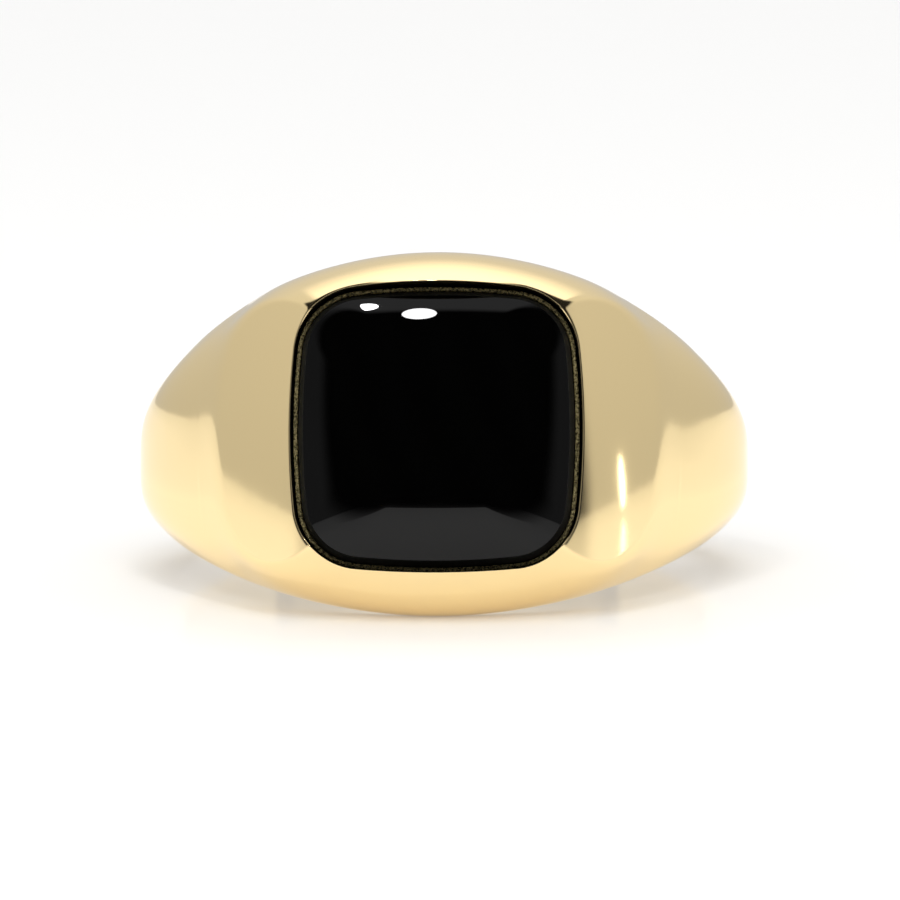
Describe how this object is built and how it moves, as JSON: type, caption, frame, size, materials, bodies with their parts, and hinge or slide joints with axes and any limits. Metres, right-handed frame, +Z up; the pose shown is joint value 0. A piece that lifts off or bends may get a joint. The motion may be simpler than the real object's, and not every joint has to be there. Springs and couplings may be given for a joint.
{
  "type": "signet ring",
  "caption": "Yellow gold signet ring with a cushion-shaped black onyx set in a recess of its domed head, lying on its side.",
  "frame": {"origin": "centre of the ring's bounding box in X and Y, on the surface that it lies on", "axes": "+Z up, away from the surface it lies on; -Y towards the face with the stone; +X across the face. The finger axis is 13.8 degrees off Z, leaning back so that the face looks slightly up."},
  "size_m": [0.0228, 0.0246, 0.013],
  "materials": {
    "polished_gold": "polished",
    "cut_gold": "satin",
    "black_onyx": "polished",
    "cement": "matte"
  },
  "bodies": {
    "root": {"ring_body": "polished_gold", "bezel": "cut_gold", "onyx_stone": "black_onyx", "cement_bed": "cement"}
  },
  "joints": []
}
